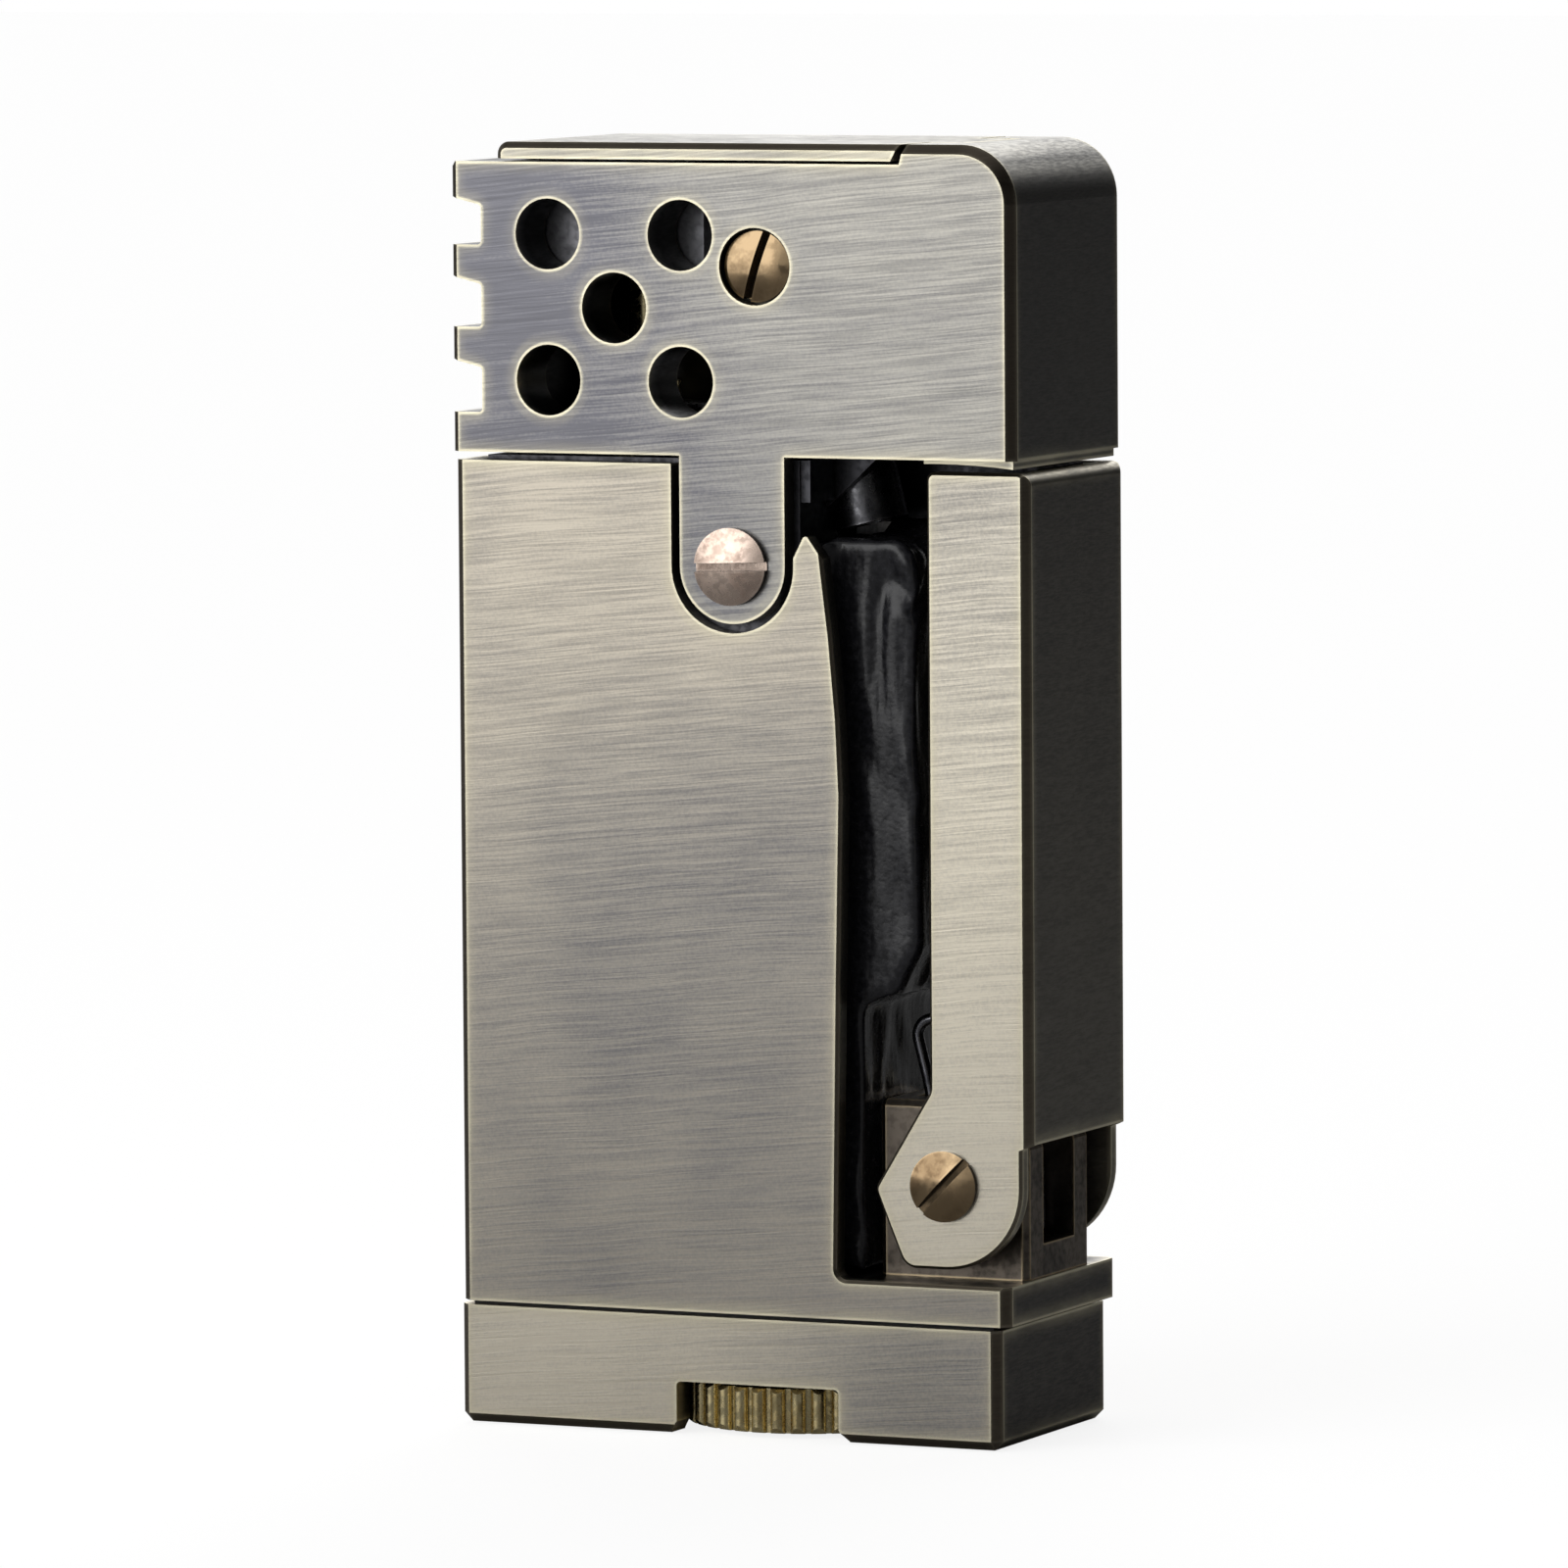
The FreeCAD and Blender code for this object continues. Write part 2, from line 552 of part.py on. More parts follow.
# ---------------------------------------------------------------- ignition
def spark_wheel():
    """Hardened wheel with fine straight teeth and a smooth hub on each side."""
    teeth = 40
    pitch = 2 * math.pi / teeth
    centre = FreeCAD.Vector(across(AXLE_U), -WHEEL_Y, AXLE_Z)

    def at(radius, angle):
        return centre + FreeCAD.Vector(radius * math.cos(angle), 0, radius * math.sin(angle))

    points = []
    for i in range(teeth):
        points.append(at(WHEEL_R, i * pitch))
        points.append(at(WHEEL_R - 0.3, (i + 0.25) * pitch))
    face = Part.Face(Part.makePolygon(points + [points[0]]))
    wheel = face.extrude(FreeCAD.Vector(0, 2 * WHEEL_Y, 0))
    hub = rod_y(AXLE_U, AXLE_Z, 1.9, -3.1, WHEEL_Y + 0.3)
    return wheel.fuse(hub).cut(rod_y(AXLE_U, AXLE_Z, AXLE_R + RUN, -7, 7))


SLIDER_END_U = 20.5
SLIDER_Z0, SLIDER_Z1 = 50.65, 51.9


def drive_arm():
    """Pawl arm beside the wheel; the slider pushes its lower end to the left."""
    reach = AXLE_Z - (SLIDER_Z0 + SLIDER_Z1) / 2
    tip_u = SLIDER_END_U - 0.95
    half = 0.5
    tip_z = AXLE_Z - reach
    hub = rod_y(AXLE_U, AXLE_Z, 1.9, 1.9, 2.9)
    tip = rod_y(tip_u, tip_z, half, 1.9, 2.9)
    along = math.atan2(tip_z - AXLE_Z, tip_u - AXLE_U)
    side = FreeCAD.Vector(-math.sin(along), 0, math.cos(along))
    start = FreeCAD.Vector(across(AXLE_U), 1.9, AXLE_Z)
    end = FreeCAD.Vector(across(tip_u), 1.9, tip_z)
    corners = [start + side * half, end + side * half, end - side * half, start - side * half]
    web = Part.Face(Part.makePolygon(corners + [corners[0]])).extrude(FreeCAD.Vector(0, 1.0, 0))
    arm = hub.fuse(tip).fuse(web).removeSplitter()
    return arm.cut(rod_y(AXLE_U, AXLE_Z, AXLE_R + RUN, -7, 7))


def drive_slider():
    """Bent slider: shelf and foot inside the lever, post for the lid's heel, bar for the drive arm."""
    foot = block(27.5, 29.0, -2.6, 2.9, 44.0, 46.6)
    shelf = block(25.7, 27.5, -2.6, 2.9, 45.8, 46.6)
    post = block(27.5, 28.3, -2.6, 2.9, 44.0, 54.6)
    finger = block(27.5, 28.3, -1.6, 1.6, 54.6, 56.6)
    bar = block(SLIDER_END_U, 27.5, 1.9, 2.9, SLIDER_Z0, SLIDER_Z1)
    return foot.fuse(shelf).fuse(post).fuse(finger).fuse(bar).removeSplitter()


VALVE_PIN_U, VALVE_PIN_Z = 13.9, 49.0


def valve_lever():
    """Forked lever that lifts the jet's collar."""
    arm = block(6.0, VALVE_PIN_U, -1.9, 1.9, VALVE_PIN_Z - 0.3, VALVE_PIN_Z + 0.3)
    arm = arm.cut(block(5.0, 8.6, -1.0, 1.0, 47, 51))
    hub = rod_y(VALVE_PIN_U, VALVE_PIN_Z, 0.95, -1.9, 1.9)
    finger = block(VALVE_PIN_U - 0.4, VALVE_PIN_U + 0.3, -0.9, 0.9, 46.6, VALVE_PIN_Z)
    piece = arm.fuse(hub).fuse(finger)
    return piece.cut(rod_y(VALVE_PIN_U, VALVE_PIN_Z, 0.5 + RUN, -7, 7)).removeSplitter()


def valve_lever_pin():
    return rod_y(VALVE_PIN_U, VALVE_PIN_Z, 0.5, -4.5, 4.5)


# ---------------------------------------------------------------- lever
def flange_outline():
    """Side plate of the lever: straight arm, knee and a foot rounded about the pivot."""
    right = PIVOT_U + LEVER_FOOT_R
    return [
        (LEVER_LEFT, LEVER_TOP, 0.4),
        (WIDTH, LEVER_TOP, 0.6),
        (WIDTH, SPINE_BOTTOM),
        (right, SPINE_BOTTOM - 0.2),
        (right, PIVOT_Z - LEVER_FOOT_R, LEVER_FOOT_R - 0.02),
        (23.3, PIVOT_Z - LEVER_FOOT_R, 0.9),
        (22.5, 10.4),
        (21.75, 12.25, 0.6),
        (LEVER_LEFT, 17.0, 0.6),
    ]


def lever():
    front = FRONT + LEVER_INSET
    back = BACK - LEVER_INSET
    envelope = block(15, WIDTH, front, back, 0, LEVER_TOP)
    envelope = bevel(envelope, 0.4, lambda x, y, z, e: near(x, across(WIDTH)) and runs_along(e, 2))
    channel = plate(flange_outline(), front, back)
    channel = bevel(channel, FINE_BEVEL, lambda x, y, z, e: near(abs(y), back) and x < across(WIDTH - 0.6))
    channel = channel.common(envelope)
    inside = block(15, WIDTH - LEVER_T, front + LEVER_T, back - LEVER_T, 0, LEVER_TOP + 1)
    foot_gap = block(15, WIDTH + 1, front + LEVER_T, back - LEVER_T, 0, SPINE_BOTTOM)
    channel = channel.cut(inside).cut(foot_gap)
    return channel.cut(rod_y(PIVOT_U, PIVOT_Z, 0.75 + FIT, -7, 7))


def lever_pivot_pin():
    pin = rod_y(PIVOT_U, PIVOT_Z, PIVOT_R, -4.98, 4.98)
    for y0, y1 in ((-6, -1.5), (1.5, 6)):
        pin = pin.cut(rod_y(PIVOT_U, PIVOT_Z, 0.75 + FIT, y0, y1))
    return pin


def lever_pivot_screws():
    """Slotted screws that clamp the lever's flanges to the ends of the pin."""
    face = BACK - LEVER_INSET
    front = slotted_screw(SCREW_HEAD_R, 0.25, 0.25, 0.75, 4.0, 46)
    front.translate(FreeCAD.Vector(across(PIVOT_U), -face - 0.25, PIVOT_Z))
    back = slotted_screw(SCREW_HEAD_R, 0.25, 0.25, 0.75, 4.0, 20)
    back.rotate(FreeCAD.Vector(0, 0, 0), FreeCAD.Vector(0, 0, 1), 180)
    back.translate(FreeCAD.Vector(across(PIVOT_U), face + 0.25, PIVOT_Z))
    return Part.makeCompound([front, back])


def pivot_spacers():
    """Rings that centre the bracket between the lever's flanges."""
    rings = []
    for y0, y1 in ((-4.95, -BRACKET_Y), (BRACKET_Y, 4.95)):
        ring = rod_y(PIVOT_U, PIVOT_Z, 2.2, y0, y1)
        rings.append(ring.cut(rod_y(PIVOT_U, PIVOT_Z, PIVOT_R + RUN, -7, 7)))
    return Part.makeCompound(rings)


def lever_bracket():
    """Forked block on the ledge that carries the lever's pin and spring."""
    body = plate([(BRACKET_LEFT, LEDGE_TOP), (BRACKET_RIGHT, LEDGE_TOP), (BRACKET_RIGHT, 14.1),
                  (BRACKET_RIGHT - 0.7, BRACKET_TOP), (BRACKET_LEFT, BRACKET_TOP)], -BRACKET_Y, BRACKET_Y)
    body = bevel(body, 0.3, lambda x, y, z, e: runs_along(e, 2) or near(z, BRACKET_TOP))
    slot_y = BRACKET_SLOT_Y
    body = body.cut(block(22.3, WIDTH + 1, -slot_y, slot_y, LEDGE_TOP + 1.6, BRACKET_TOP + 1))
    body = body.cut(rod_y(PIVOT_U, PIVOT_Z, PIVOT_R + RUN, -7, 7))
    return body.cut(rod_z(PIVOT_U, 0, 0.98 + FIT, 0, LEDGE_TOP + 2))


def lever_spring():
    """Torsion spring: coils on the pivot pin, a hooked leg up the lever, a short leg on the bracket."""
    wire = 0.28
    mean = 1.75
    pitch = 0.62
    turns = 4.5
    coils = Part.makeHelix(pitch, pitch * turns, mean)
    circle = Part.Wire(Part.makeCircle(wire, FreeCAD.Vector(mean, 0, 0), FreeCAD.Vector(0, 1, 0)))
    body = Part.Wire(coils).makePipeShell([circle], True, True)
    body.translate(FreeCAD.Vector(0, 0, -pitch * turns / 2))
    body.rotate(FreeCAD.Vector(0, 0, 0), FreeCAD.Vector(1, 0, 0), 90)
    body.translate(FreeCAD.Vector(across(PIVOT_U), 0, PIVOT_Z))
    half = pitch * turns / 2
    up = [(PIVOT_U - mean, half * -1, PIVOT_Z - 0.3), (22.6, -half, 17.2), (21.9, -half, 19.9),
          (28.7, -half, 20.5)]
    down = [(PIVOT_U + mean, half, PIVOT_Z + 0.3), (27.2, half, LEDGE_TOP + 1.95)]
    long_leg = tube_along([FreeCAD.Vector(across(u), y, z) for u, y, z in up], wire, 0.8)
    short_leg = tube_along([FreeCAD.Vector(across(u), y, z) for u, y, z in down], wire, 0.8)
    return body.fuse(long_leg).fuse(short_leg)


# ---------------------------------------------------------------- write
PARTS = [
    base_cap, base_gasket, base_screws, flame_adjust_wheel, filler_valve, filler_seal, filler_stem,
    fuel_tank, body_casing, chassis, burner_valve, valve_seal, burner_jet, valve_lever,
    valve_lever_pin, flint_tube, flint, flint_spring, flint_plug, spark_wheel, axle_screw, drive_arm,
    drive_slider, head_shell, tongue_screws, lid, lid_hinge_pin, snuffer_hood, snuffer_pad,
    lever_bracket, lever, lever_pivot_pin, lever_pivot_screws, pivot_spacers, lever_spring,
]

os.makedirs("parts", exist_ok=True)
for make in PARTS:
    shape = make()
    print("%-20s valid %s volume %.2f" % (make.__name__, shape.isValid(), shape.Volume))
    shape.exportStep("parts/" + make.__name__ + ".step")
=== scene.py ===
import math

import bpy
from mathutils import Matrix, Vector, noise


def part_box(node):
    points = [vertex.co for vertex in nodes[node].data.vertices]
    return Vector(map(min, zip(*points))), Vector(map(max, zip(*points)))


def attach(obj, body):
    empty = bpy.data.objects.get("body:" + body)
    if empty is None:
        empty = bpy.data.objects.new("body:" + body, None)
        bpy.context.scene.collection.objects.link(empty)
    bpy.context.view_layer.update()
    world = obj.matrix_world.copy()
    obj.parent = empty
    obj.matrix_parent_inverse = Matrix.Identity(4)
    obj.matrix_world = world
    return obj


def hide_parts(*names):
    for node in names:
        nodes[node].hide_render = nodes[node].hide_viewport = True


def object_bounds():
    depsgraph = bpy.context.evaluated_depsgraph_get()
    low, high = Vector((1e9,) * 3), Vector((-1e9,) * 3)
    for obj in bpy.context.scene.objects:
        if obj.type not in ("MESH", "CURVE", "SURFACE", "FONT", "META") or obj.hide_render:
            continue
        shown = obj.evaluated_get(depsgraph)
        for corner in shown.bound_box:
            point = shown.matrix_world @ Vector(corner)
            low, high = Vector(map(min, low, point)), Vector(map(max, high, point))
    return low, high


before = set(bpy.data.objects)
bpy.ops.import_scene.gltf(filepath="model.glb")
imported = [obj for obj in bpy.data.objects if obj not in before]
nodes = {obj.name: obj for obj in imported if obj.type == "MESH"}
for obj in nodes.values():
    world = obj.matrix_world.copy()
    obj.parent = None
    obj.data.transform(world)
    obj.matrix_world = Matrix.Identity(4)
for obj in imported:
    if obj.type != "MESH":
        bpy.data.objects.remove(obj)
cad_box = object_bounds()

MM = 0.001

# ---------------------------------------------------------------- camera and studio
CAMERA_AZIMUTH = 24.7
CAMERA_ELEVATION = 4.9
CAMERA_ROLL = math.radians(-0.4)
CAMERA_DISTANCE = 571 * MM
CAMERA_LENS = 272
CAMERA_CLIP = 0.01
CAMERA_AIM = (-0.24 * MM, -0.50 * MM, -0.04 * MM)  # from the middle of the object


def direction(azimuth, elevation):
    """Unit vector; azimuth 0 is in front of the object (-Y), 90 to its right (+X)."""
    a, e = math.radians(azimuth), math.radians(elevation)
    return (math.sin(a) * math.cos(e), -math.cos(a) * math.cos(e), math.sin(e))


def make_camera():
    """A long lens to the front right of the object, a little above it."""
    low, high = (Vector(v) for v in cad_box)
    aim = (low + high) / 2 + Vector(CAMERA_AIM)
    back = Vector(direction(CAMERA_AZIMUTH, CAMERA_ELEVATION))
    data = bpy.data.cameras.new("camera")
    data.lens = CAMERA_LENS
    data.clip_start = CAMERA_CLIP
    camera = bpy.data.objects.new("camera", data)
    bpy.context.scene.collection.objects.link(camera)
    camera.location = aim + back * CAMERA_DISTANCE
    turn = (-back).to_track_quat("-Z", "Y").to_matrix().to_4x4()
    camera.rotation_euler = turn.to_euler()
    camera.rotation_euler.rotate_axis("Z", CAMERA_ROLL)
    bpy.context.scene.camera = camera


class Nodes:
    """Short way to add and link shader nodes."""

    def __init__(self, tree):
        self.tree = tree
        tree.nodes.clear()

    def add(self, kind, settings=None, **inputs):
        node = self.tree.nodes.new(kind)
        for name, value in (settings or {}).items():
            setattr(node, name, value)
        for name, value in inputs.items():
            self.put(node, name.replace("_", " "), value)
        return node

    def put(self, node, name, value):
        socket = node.inputs[int(name)] if name.isdigit() else node.inputs[name]
        if isinstance(value, bpy.types.NodeSocket):
            self.tree.links.new(value, socket)
        else:
            socket.default_value = value

    def math(self, operation, a, b=0.0, clamp=False):
        node = self.add("ShaderNodeMath", {"operation": operation, "use_clamp": clamp})
        self.put(node, "0", a)
        self.put(node, "1", b)
        return node.outputs[0]

    def ramp(self, value, low, high, out_low=0.0, out_high=1.0):
        node = self.add("ShaderNodeMapRange", {"interpolation_type": "SMOOTHSTEP"})
        for name, number in (("Value", value), ("From Min", low), ("From Max", high),
                             ("To Min", out_low), ("To Max", out_high)):
            self.put(node, name, number)
        return node.outputs[0]

    def mix(self, factor, a, b):
        node = self.add("ShaderNodeMix", {"data_type": "RGBA"})
        self.put(node, "0", factor)
        self.put(node, "6", a)
        self.put(node, "7", b)
        return node.outputs[2]

    def dot(self, a, b):
        node = self.add("ShaderNodeVectorMath", {"operation": "DOT_PRODUCT"})
        self.put(node, "0", a)
        self.put(node, "1", b)
        return node.outputs["Value"]

    def shift(self, a, b):
        node = self.add("ShaderNodeVectorMath", {"operation": "ADD"})
        self.put(node, "0", a)
        self.put(node, "1", b)
        return node.outputs[0]

    def noise(self, vector, detail=2.0, rough=0.5):
        """Noise whose cells are one unit of the vector across."""
        node = self.add("ShaderNodeTexNoise", Vector=vector, Scale=1.0, Detail=detail, Roughness=rough)
        return node.outputs["Fac"]

    def even_noise(self, cells_per_metre, detail=2.0, rough=0.5):
        return self.noise(self.stretched((cells_per_metre,) * 3), detail, rough)

    def normal_part(self, axis):
        """How far the surface faces along an axis of the piece, either way: 0 to 1."""
        normal = self.add("ShaderNodeTexCoord").outputs["Normal"]
        return self.math("ABSOLUTE", self.add("ShaderNodeSeparateXYZ", Vector=normal).outputs[axis])

    def fine_bump(self, height, strength, distance):
        bump = self.add("ShaderNodeBump", Strength=strength, Distance=distance)
        self.put(bump, "Height", height)
        return bump.outputs[0]

    def stretched(self, scales, turn=(0.0, 0.0, 0.0)):
        """Object coordinates in the frame's metres, scaled per axis."""
        coords = self.add("ShaderNodeTexCoord").outputs["Object"]
        node = self.add("ShaderNodeMapping", Vector=coords, Scale=scales, Rotation=turn)
        return node.outputs[0]


def new_material(name):
    material = bpy.data.materials.new(name)
    material.use_nodes = True
    return material, Nodes(material.node_tree)


# azimuth, elevation, cosine where it starts, cosine where it is full, strength
STUDIO = [
    (-32, 12, 0.62, 0.99, 0.80),
    (-10, 78, 0.75, 1.00, 0.40),
    (-163, 24, 0.80, 1.00, 1.60),
    (-100, 20, 0.85, 1.00, 0.30),
]
STUDIO_BASE = 0.02
WHITE = (1.0, 1.0, 1.0, 1.0)


def make_world():
    """Soft studio all round for the light, plain white behind."""
    world = bpy.data.worlds.new("studio")
    bpy.context.scene.world = world
    world.use_nodes = True
    n = Nodes(world.node_tree)
    way = n.add("ShaderNodeTexCoord").outputs["Generated"]
    total = STUDIO_BASE
    for azimuth, elevation, start, full, strength in STUDIO:
        dot = n.dot(way, direction(azimuth, elevation))
        lobe = n.ramp(dot, start, full, 0.0, strength)
        total = n.math("ADD", total, lobe)
    light = n.add("ShaderNodeBackground", Color=WHITE, Strength=total)
    plain = n.add("ShaderNodeBackground", Color=WHITE, Strength=1.0)
    seen = n.add("ShaderNodeLightPath").outputs["Is Camera Ray"]
    both = n.add("ShaderNodeMixShader")
    n.put(both, "0", seen)
    n.put(both, "1", light.outputs[0])
    n.put(both, "2", plain.outputs[0])
    n.add("ShaderNodeOutputWorld", Surface=both.outputs[0])


FLOOR_HALF = 3.0
FLOOR_DROP = 0.05 * MM
FLOOR_PAPER = (0.42, 0.42, 0.42, 1.0)
FLOOR_GLOW = 0.85


def make_floor():
    """Wide sheet of pale paper, a hair below the object so that they don't share a plane."""
    mesh = bpy.data.meshes.new("floor")
    half = FLOOR_HALF
    corners = [(-half, -half, 0), (half, -half, 0), (half, half, 0), (-half, half, 0)]
    mesh.from_pydata(corners, [], [(0, 1, 2, 3)])
    floor = bpy.data.objects.new("floor", mesh)
    bpy.context.scene.collection.objects.link(floor)
    material, n = new_material("floor_paper")
    paper = n.add("ShaderNodeBsdfDiffuse", Color=FLOOR_PAPER)
    glow = n.add("ShaderNodeEmission", Color=WHITE)
    seen = n.add("ShaderNodeLightPath").outputs["Is Camera Ray"]
    n.put(glow, "Strength", n.math("MULTIPLY", seen, FLOOR_GLOW))
    both = n.add("ShaderNodeAddShader")
    n.put(both, "0", paper.outputs[0])
    n.put(both, "1", glow.outputs[0])
    n.add("ShaderNodeOutputMaterial", Surface=both.outputs[0])
    mesh.materials.append(material)
    floor.location.z = -FLOOR_DROP


KEY_AZIMUTH = -30
KEY_ELEVATION = 9
KEY_DISTANCE = 420 * MM
KEY_WIDTH = 360 * MM
KEY_HEIGHT = 300 * MM
KEY_POWER = 0.40
KEY_AIM = (0, 0, 30 * MM)


def make_key_lamp():
    """Large soft lamp to the front left."""
    data = bpy.data.lights.new("key", "AREA")
    data.shape = "RECTANGLE"
    data.size = KEY_WIDTH
    data.size_y = KEY_HEIGHT
    data.energy = KEY_POWER
    lamp = bpy.data.objects.new("key", data)
    bpy.context.scene.collection.objects.link(lamp)
    way = Vector(direction(KEY_AZIMUTH, KEY_ELEVATION))
    lamp.location = way * KEY_DISTANCE + Vector(KEY_AIM)
    lamp.rotation_euler = (-way).to_track_quat("-Z", "Y").to_euler()
    lamp.visible_camera = False


# ---------------------------------------------------------------- materials
def finish_shader(n, colour, rough, normal, metallic=1.0, anisotropy=0.0):
    shader = n.add("ShaderNodeBsdfPrincipled")
    n.put(shader, "Base Color", colour)
    n.put(shader, "Roughness", rough)
    shader.inputs["Metallic"].default_value = metallic
    n.put(shader, "Normal", normal)
    if anisotropy:
        shader.inputs["Anisotropic"].default_value = anisotropy
        tangent = n.add("ShaderNodeTangent", {"direction_type": "RADIAL", "axis": "Z"})
        n.put(shader, "Tangent", tangent.outputs[0])
    n.add("ShaderNodeOutputMaterial", Surface=shader.outputs[0])


def dress(material, *names):
    for name in names:
        mesh = nodes[name].data
        mesh.materials.clear()
        mesh.materials.append(material)


def edge_bend(n, radius, samples=8):
    """How far the surface's mean direction within radius turns from its own; 0 away from edges."""
    rounded = n.add("ShaderNodeBevel", {"samples": samples}, Radius=radius).outputs[0]
    flat = n.add("ShaderNodeNewGeometry").outputs["True Normal"]
    return n.math("SUBTRACT", 1.0, n.dot(rounded, flat))


def sideways(n):
    """1 where the surface faces left or right, 0 where it faces front, back, up or down."""
    return n.ramp(n.normal_part(0), 0.78, 0.99)


def corner_cut(n):
    """1 on the narrow bevels between the front or back face and the faces beside it."""
    off = n.math("ABSOLUTE", n.math("SUBTRACT", n.normal_part(1), COS_45))
    return n.ramp(off, 0.12, 0.25, 1.0, 0.0)


def recess(n, box, start=0.25, full=1.1):
    """0 on the outside of the piece's own box, 1 further inside it than full millimetres."""
    low, high = box
    coords = n.add("ShaderNodeTexCoord").outputs["Object"]
    parts = n.add("ShaderNodeSeparateXYZ", Vector=coords)
    nearest = None
    for axis in range(3):
        for wall, sign in ((low[axis], 1.0), (high[axis], -1.0)):
            away = n.math("MULTIPLY", n.math("SUBTRACT", parts.outputs[axis], wall), sign)
            nearest = away if nearest is None else n.math("MINIMUM", nearest, away)
    return n.ramp(nearest, start * MM, full * MM)


def slope(n, way, start, full):
    """0 before start and 1 after full, measured in millimetres along a direction."""
    coords = n.add("ShaderNodeTexCoord").outputs["Object"]
    return n.ramp(n.dot(coords, Vector(way).normalized()), start * MM, full * MM)


PALE_WORN = (1.0, 0.93, 0.70, 1)
HALO_BRASS = (0.80, 0.73, 0.53, 1)
BODY_LIGHT = (0.67, 0.61, 0.505, 1)
BASE_LIGHT = (0.86, 0.79, 0.65, 1)
LEVER_LIGHT = (0.92, 0.85, 0.70, 1)
BODY_DARK = (0.26, 0.255, 0.26, 1)
HEAD_LIGHT = (0.53, 0.51, 0.455, 1)
HEAD_DARK = (0.22, 0.22, 0.245, 1)
# painted shade: near black on the faces that look left or right
PAINTED_SIDE_SHADE = (0.060, 0.058, 0.057, 1)
# painted shade: brown on the narrow bevels
BEVEL_PAINTED_SHADE = (0.085, 0.064, 0.042, 1)
# painted shade: near black, for hollows, grooves and screw rims
PAINTED_SHADE_BLACK = (0.018, 0.017, 0.016, 1)

# noise cells per metre along x, y and z
FINE_BRUSH = (260, 1500, 11500)
BROAD_BRUSH = (150, 700, 6800)
LONG_BRUSH = (45, 150, 2300)
CLOUDS = (60, 60, 42)
BRUSH_WAVE = 110
SPECKS = 6500
WEAR_PATCHES = 260

BRUSH_LEAN = math.radians(5.5)
BRUSH_DRIFT = 0.5 * MM
HALO_RADIUS = 1.1 * MM
WEAR_RADIUS = 0.3 * MM
PAINTED_SIDE_SHADE_SHARE = 0.82
BEVEL_PAINTED_SHADE_SHARE = 0.88
BEVEL_SPARED = 0.85
HOLLOW_SHADE_SHARE = 0.93
COS_45 = 0.707
BRASS_ROUGHNESS = (0.31, 0.44)
BRASS_ANISOTROPY = 0.4


def brush_marks(n):
    """Fine and long brush marks that lean and waver a little, as two noises."""
    wave = n.even_noise(BRUSH_WAVE, 1.0)
    drift = n.math("MULTIPLY", n.math("SUBTRACT", wave, 0.5), BRUSH_DRIFT)
    leaning = n.stretched((1, 1, 1), (0.0, BRUSH_LEAN, 0.0))
    bent = n.shift(leaning, n.add("ShaderNodeCombineXYZ", Z=drift).outputs[0])

    def brush(scales, detail, rough_noise):
        at = n.add("ShaderNodeMapping", Vector=bent, Scale=scales).outputs[0]
        return n.noise(at, detail, rough_noise)

    fine = n.math("MULTIPLY", brush(FINE_BRUSH, 3.0, 0.62), 0.62)
    broad = n.math("MULTIPLY", brush(BROAD_BRUSH, 3.0, 0.62), 0.38)
    return n.math("ADD", fine, broad), brush(LONG_BRUSH, 2.0, 0.5)


def patina_and_shade_tone(n, marks, long_marks, shade_slope, patch, seed, grain):
    """0 for bare brass to 1 for full dark tone: patina clouds, brush marks, specks and a slow painted shade
    along a direction.
    """
    clouds = n.noise(n.shift(n.stretched(CLOUDS), (seed, seed * 0.7, seed * 1.3)), 3.0, 0.55)
    specks = n.even_noise(SPECKS, 2.0, 0.6)
    way, start, full, weight = shade_slope
    tone = n.math("ADD", n.ramp(clouds, 0.35, 0.68, 0.0, patch),
                  n.ramp(marks, 0.36, 0.64, -0.20 * grain, 0.24 * grain))
    tone = n.math("ADD", tone, n.ramp(specks, 0.4, 0.62, -0.05, 0.07))
    # painted shade: darker along the given direction across the piece, where less light falls on it
    tone = n.math("ADD", tone, n.math("MULTIPLY", slope(n, way, start, full), weight))
    return n.math("ADD", tone, n.ramp(long_marks, 0.38, 0.66, -0.03, 0.06), clamp=True)


def worn_edges(n, colour, glow):
    """Bare brass in a wide soft band along edges and a pale line on them, less on the bevels."""
    patchy = n.even_noise(WEAR_PATCHES, 2.0)
    spared = n.math("SUBTRACT", 1.0, n.math("MULTIPLY", corner_cut(n), BEVEL_SPARED))
    halo = n.ramp(edge_bend(n, HALO_RADIUS, 5), 0.0004, 0.05)
    halo = n.math("MULTIPLY", halo, n.ramp(patchy, 0.3, 0.65, 0.25 * glow, 0.6 * glow))
    colour = n.mix(n.math("MULTIPLY", halo, spared), colour, HALO_BRASS)
    wear = n.ramp(edge_bend(n, WEAR_RADIUS), 0.004, 0.028)
    wear = n.math("MULTIPLY", wear, n.ramp(patchy, 0.25, 0.6, 0.65, 1.0))
    return n.mix(n.math("MULTIPLY", wear, spared), colour, PALE_WORN)


